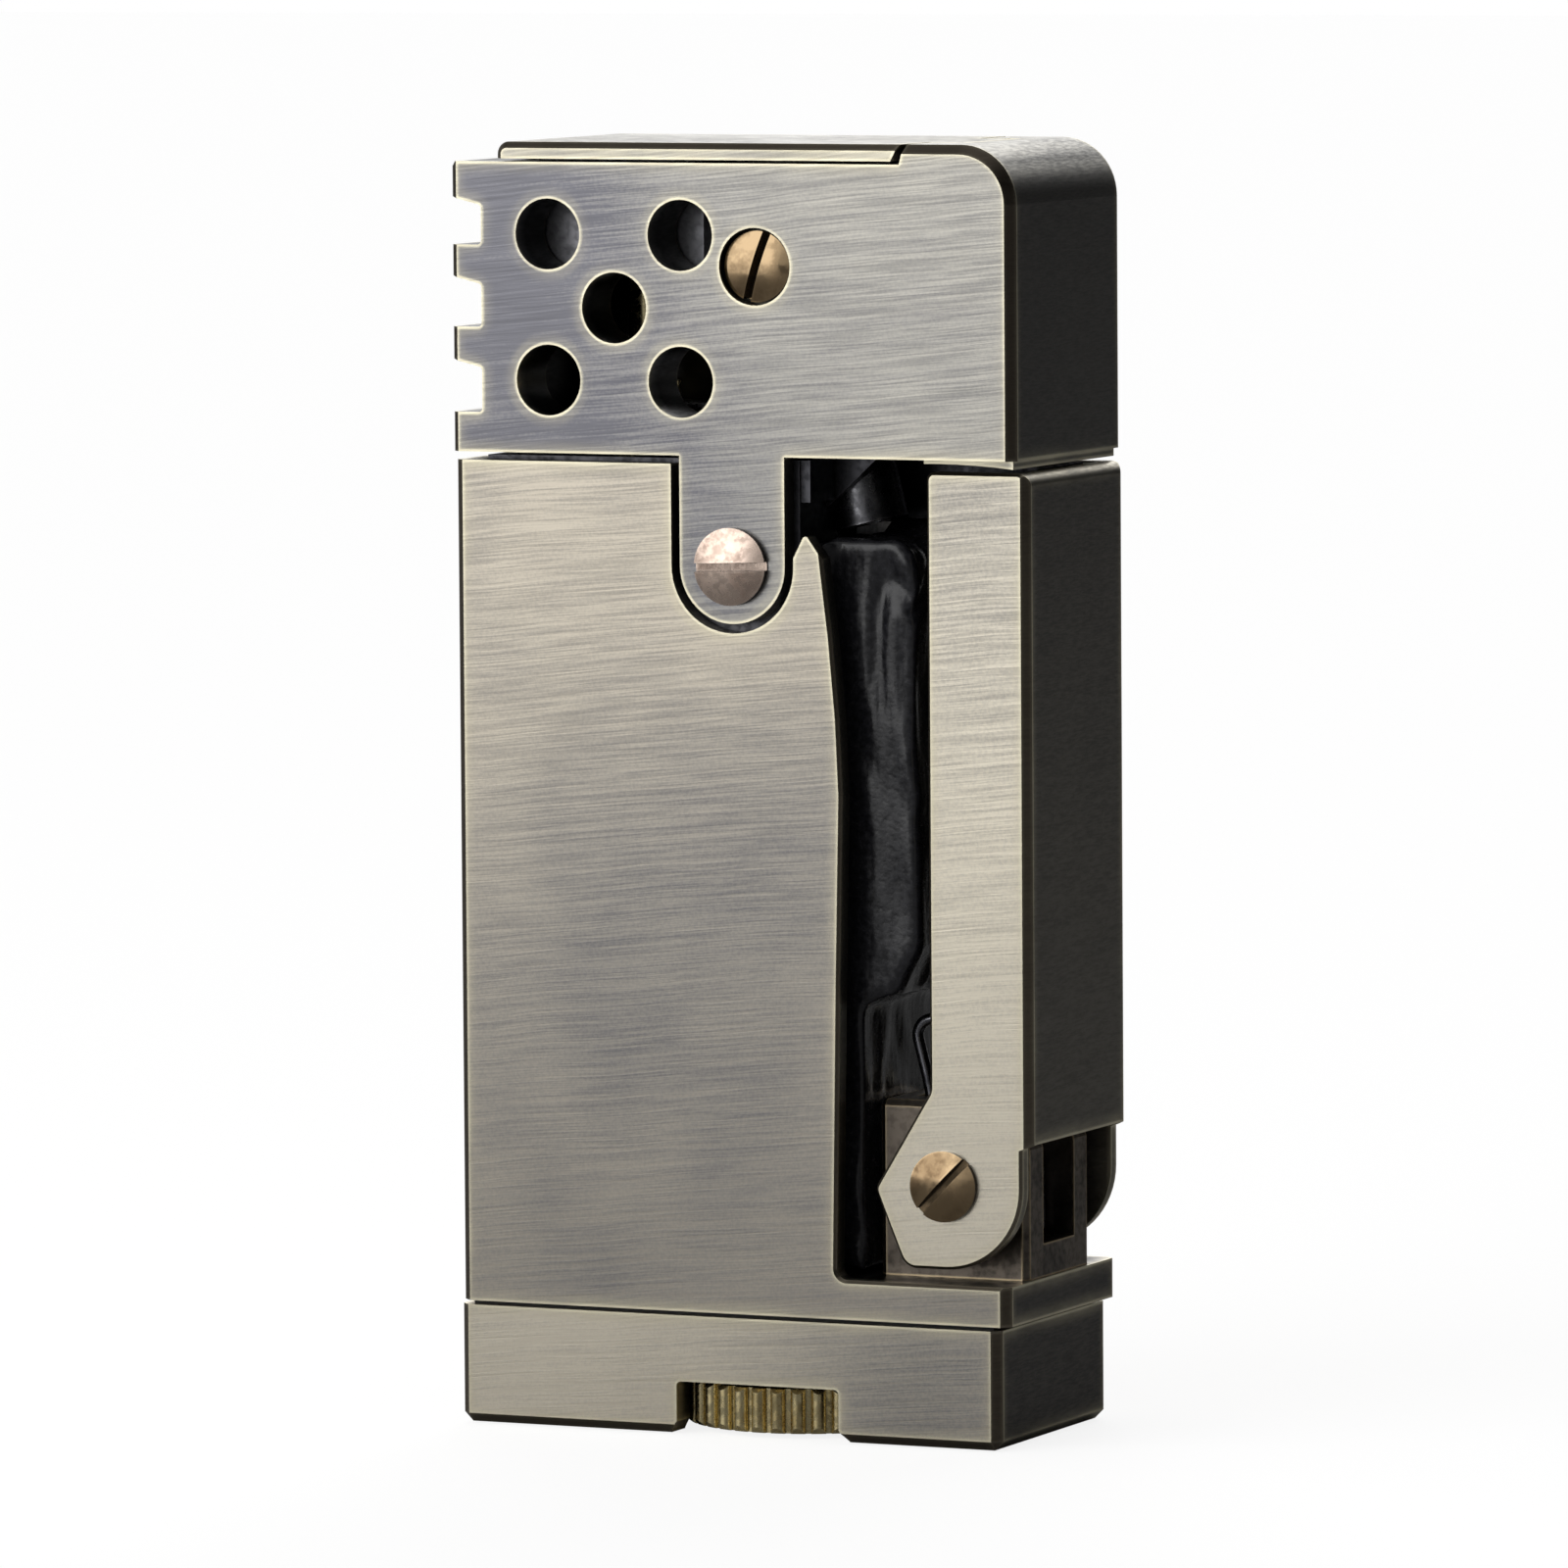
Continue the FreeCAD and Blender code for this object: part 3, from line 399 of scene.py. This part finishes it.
def brushed_brass(name, piece, light, dark, shade_slope, patch, seed, grain=0.76, glow=1.0):
    """Antique brass: long fine brush marks, cloudy patina, painted shade on the sides, on the bevels and in
    hollows, edges worn bright.

    shade_slope is a direction, the two places along it where a painted shade starts and is full, and its
    weight;
    glow is how strongly the bare brass shows through in a wide band along the edges.
    """
    material, n = new_material(name)
    marks, long_marks = brush_marks(n)
    colour = n.mix(patina_and_shade_tone(n, marks, long_marks, shade_slope, patch, seed, grain), light, dark)
    # painted shade: faces that look left or right are darkened for the dim light falling on them
    colour = n.mix(n.math("MULTIPLY", sideways(n), PAINTED_SIDE_SHADE_SHARE), colour, PAINTED_SIDE_SHADE)
    # painted shade: brown on the narrow bevels, standing for the dark surroundings they reflect
    colour = n.mix(n.math("MULTIPLY", corner_cut(n), BEVEL_PAINTED_SHADE_SHARE), colour, BEVEL_PAINTED_SHADE)
    colour = worn_edges(n, colour, glow)
    # painted shade: near black deeper inside the piece's own box, in its hollows, slots and vents
    colour = n.mix(n.math("MULTIPLY", recess(n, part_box(piece)), HOLLOW_SHADE_SHARE), colour, PAINTED_SHADE_BLACK)
    bump = n.fine_bump(marks, 0.22, 0.02 * MM)
    finish_shader(n, colour, n.ramp(marks, 0.35, 0.65, *BRASS_ROUGHNESS), bump, anisotropy=BRASS_ANISOTROPY)
    dress(material, piece)


STAINS = 420
TURNED_WEAR_RADIUS = 0.2 * MM


def turned_metal(name, light, dark, rough, wear_colour=None, scale=2600, occlusion_shade_reach=0.45, painted_rim_shade=False):
    """Machined metal with fine mottling, painted shade in its grooves and bright edges.

    painted_rim_shade paints shade on what faces away from front and back, such as the rim of a screw's head.
    """
    material, n = new_material(name)
    # painted shade: ambient occlusion darkens grooves, slots and the gaps round screws
    occlusion_shade = n.add("ShaderNodeAmbientOcclusion", {"samples": 6, "only_local": True}, Distance=occlusion_shade_reach * MM)
    occlusion_shade = n.ramp(occlusion_shade.outputs["AO"], 0.35, 0.85, 0.92, 0.0)
    grain = n.even_noise(scale, 3.0, 0.6)
    stain = n.even_noise(STAINS, 3.0, 0.55)
    stained = n.ramp(stain, 0.4, 0.7, 0.0, 0.75)
    tone = n.math("ADD", stained, n.ramp(grain, 0.4, 0.65, -0.15, 0.25), clamp=True)
    colour = n.mix(tone, light, dark)
    wear = n.ramp(edge_bend(n, TURNED_WEAR_RADIUS), 0.005, 0.04, 0.0, 0.8)
    colour = n.mix(wear, colour, wear_colour or light)
    colour = n.mix(occlusion_shade, colour, PAINTED_SHADE_BLACK)
    # painted shade on the rim of domed screw heads
    if painted_rim_shade:
        colour = n.mix(n.ramp(n.normal_part(1), 0.3, 0.75, 0.9, 0.0), colour, PAINTED_SHADE_BLACK)
    roughness = n.ramp(grain, 0.35, 0.65, rough - 0.06, rough + 0.1)
    finish_shader(n, colour, roughness, n.fine_bump(grain, 0.15, 0.01 * MM))
    return material


TANK_BLACK = (0.018, 0.018, 0.021, 1)
TANK_SHEEN = tuple(part * 1.9 for part in TANK_BLACK[:3]) + (1,)
SKIN_CREASES = (420, 420, 90)
SKIN_LEAN = 0.16
SKIN_GRAIN = 3000
FOLD_SHARE = 0.32
GRAIN_SHARE = 0.02


def tank_skin():
    """Glossy black skin, slightly creased."""
    material, n = new_material("black_tank_skin")
    crease = n.noise(n.stretched(SKIN_CREASES, (0.0, SKIN_LEAN, 0.0)), 3.0, 0.55)
    grain = n.even_noise(SKIN_GRAIN, 2.0, 0.5)
    height = n.math("ADD", n.math("MULTIPLY", crease, FOLD_SHARE), n.math("MULTIPLY", grain, GRAIN_SHARE))
    tint = n.mix(n.ramp(grain, 0.3, 0.7), TANK_BLACK, TANK_SHEEN)
    roughness = n.ramp(grain, 0.3, 0.7, 0.16, 0.28)
    finish_shader(n, tint, roughness, n.fine_bump(height, 0.9, 0.6 * MM), metallic=0.0)
    return material


RUBBER_GRAIN = 2500
RUBBER_BLACK = (0.012, 0.012, 0.012, 1)
RUBBER_GREY = (0.03, 0.03, 0.03, 1)


def rubber():
    """Matt black rubber."""
    material, n = new_material("black_rubber")
    grain = n.even_noise(RUBBER_GRAIN, 2.0, 0.5)
    tint = n.mix(n.ramp(grain, 0.3, 0.7), RUBBER_BLACK, RUBBER_GREY)
    roughness = n.ramp(grain, 0.3, 0.7, 0.6, 0.8)
    finish_shader(n, tint, roughness, n.fine_bump(grain, 0.3, 0.02 * MM), metallic=0.0)
    return material


DOWN = (0.15, 0, -1)
LEFT_DOWN = (-1, 0, -0.35)
UP = (0, 0, 1)
RIGHT = (1, 0, -0.2)

# piece, light and dark brass, direction of the painted shade, weight of its patina clouds, seed, other
# settings
BRUSHED = {
    "antique_brass_body": ("body_casing", BODY_LIGHT, BODY_DARK, (DOWN, -42, -20, 0.46), 0.32, 1.0, {}),
    "antique_brass_base": ("base_cap", BASE_LIGHT, BODY_DARK, (RIGHT, -4, 11, 0.6), 0.15, 4.0, {}),
    "antique_brass_head": ("head_shell", HEAD_LIGHT, HEAD_DARK, (LEFT_DOWN, -21, -8, 0.75), 0.35, 7.0,
                           {"glow": 0.55}),
    "antique_brass_lid": ("lid", HEAD_LIGHT, HEAD_DARK, (LEFT_DOWN, 50, 60, 0.1), 0.3, 9.0, {}),
    "antique_brass_lever": ("lever", LEVER_LIGHT, BODY_DARK, (UP, 22, 50, 0.46), 0.12, 12.0, {"grain": 0.65}),
}

# light and dark metal, roughness, other settings, pieces
TURNED = {
    "turned_brass": ((0.43, 0.31, 0.18, 1), (0.17, 0.11, 0.06, 1), 0.15, {"scale": 1500, "painted_rim_shade": True},
                     ("axle_screw", "lever_pivot_screws", "base_screws")),
    "copper_brass": ((0.78, 0.62, 0.52, 1), (0.42, 0.30, 0.24, 1), 0.26, {"painted_rim_shade": True},
                     ("tongue_screws",)),
    "yellow_brass": ((1.0, 0.86, 0.50, 1), (0.62, 0.48, 0.22, 1), 0.24, {"occlusion_shade_reach": 0.16},
                     ("flame_adjust_wheel", "filler_valve", "burner_valve", "burner_jet")),
    "dark_casting": ((0.10, 0.10, 0.11, 1), (0.03, 0.03, 0.034, 1), 0.38, {}, ("chassis",)),
    "black_oxide": ((0.07, 0.07, 0.075, 1), (0.02, 0.02, 0.022, 1), 0.42, {}, ("drive_slider",)),
    "dark_bronze": ((0.20, 0.17, 0.14, 1), (0.08, 0.07, 0.06, 1), 0.36,
                    {"wear_colour": (0.75, 0.60, 0.38, 1)}, ("lever_bracket",)),
    "hood_sheet": ((0.50, 0.50, 0.53, 1), (0.25, 0.25, 0.27, 1), 0.42, {}, ("snuffer_hood",)),
    "dark_steel": ((0.34, 0.34, 0.36, 1), (0.12, 0.12, 0.13, 1), 0.3, {},
                   ("lever_pivot_pin", "lid_hinge_pin", "valve_lever_pin", "pivot_spacers", "drive_arm",
                    "valve_lever", "flint_tube", "flint_plug", "filler_stem", "spark_wheel")),
    "spring_wire": ((0.22, 0.22, 0.24, 1), (0.06, 0.06, 0.07, 1), 0.25, {}, ("lever_spring", "flint_spring")),
    "flint_alloy": ((0.22, 0.21, 0.20, 1), (0.10, 0.10, 0.10, 1), 0.7, {}, ("flint",)),
}
RUBBER_PIECES = ("base_gasket", "filler_seal", "valve_seal", "snuffer_pad")


def dress_pieces():
    for name, (piece, light, dark, shade_slope, patch, seed, settings) in BRUSHED.items():
        brushed_brass(name, piece, light, dark, shade_slope, patch, seed, **settings)
    for name, (light, dark, rough, settings, pieces) in TURNED.items():
        dress(turned_metal(name, light, dark, rough, **settings), *pieces)
    dress(rubber(), *RUBBER_PIECES)


# ---------------------------------------------------------------- tank sleeve
SLEEVE_VOXEL = 0.35 * MM
FOLD_CELLS = (300, 70)      # noise cells per metre across the tank and up it
RIPPLE_CELLS = (800, 260)
RIPPLE_OFFSET = 5.0
CREASE_SHARPNESS = 6.0
CREASE_DEPTH = 0.22
CROWN_CREASE_DEPTH = 0.26
CROWN_START = 0.72          # share of the tank's height where the creases deepen
CROWN_RATE = 5.0
FOLD_DEPTH = 0.55
RIPPLE_DEPTH = 0.10
COLLAR_LEFT = 4.3 * MM
COLLAR_FRONT, COLLAR_DEEP = 0.8 * MM, 1.5 * MM
COLLAR_Z, COLLAR_RISE = 42.7 * MM, 0.5 * MM
COLLAR_LIFT = 0.30
COLLAR_RIPPLE = 0.25


def clamped(value):
    return min(1.0, max(0.0, value))


def sleeve_shift(at, normal, low, high):
    """Where a point of the tank's surface goes: inwards in creases, and up at the crinkled collar."""
    across, along = FOLD_CELLS
    fold = noise.noise(Vector((at.x * across + at.z * along, at.y * across, at.z * along)))
    across, along = RIPPLE_CELLS
    ripple = noise.noise(Vector((at.x * across, at.y * across, at.z * along + RIPPLE_OFFSET)))
    crease = max(0.0, 1.0 - abs(fold) * CREASE_SHARPNESS)
    crown = clamped(((at.z - low.z) / (high.z - low.z) - CROWN_START) * CROWN_RATE)
    depth = crease * (CREASE_DEPTH + CROWN_CREASE_DEPTH * crown) + abs(fold) * FOLD_DEPTH
    depth += (ripple + 0.6) * RIPPLE_DEPTH * (0.4 + crown)
    collar = clamped((at.y - COLLAR_FRONT) / COLLAR_DEEP) * clamped((at.z - COLLAR_Z) / COLLAR_RISE)
    if at.x < COLLAR_LEFT:
        collar = 0.0
    up = Vector((0, 0, collar * (COLLAR_LIFT + COLLAR_RIPPLE * abs(ripple)) * MM))
    return at - normal * depth * MM * (1.0 - collar) + up


def make_tank_sleeve():
    """Thin black sleeve shrunk on to the tank, drawn into long creases; it stands for the plain tank."""
    tank = nodes["fuel_tank"]
    sleeve = bpy.data.objects.new("tank_sleeve", tank.data.copy())
    bpy.context.scene.collection.objects.link(sleeve)
    remesh = sleeve.modifiers.new("remesh", "REMESH")
    remesh.mode = "VOXEL"
    remesh.voxel_size = SLEEVE_VOXEL
    graph = bpy.context.evaluated_depsgraph_get()
    graph.update()
    mesh = bpy.data.meshes.new_from_object(sleeve.evaluated_get(graph), depsgraph=graph)
    sleeve.modifiers.clear()
    sleeve.data = mesh
    low, high = (Vector(v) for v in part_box("fuel_tank"))
    for vertex, normal in [(v, v.normal.copy()) for v in mesh.vertices]:
        vertex.co = sleeve_shift(vertex.co.copy(), normal, low, high)
    for polygon in mesh.polygons:
        polygon.use_smooth = True
    mesh.materials.clear()
    mesh.materials.append(tank_skin())
    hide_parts("fuel_tank")
    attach(sleeve, "frame")


make_camera()
make_world()
make_floor()
make_key_lamp()
dress_pieces()
make_tank_sleeve()

bpy.context.scene.view_settings.view_transform = "Standard"
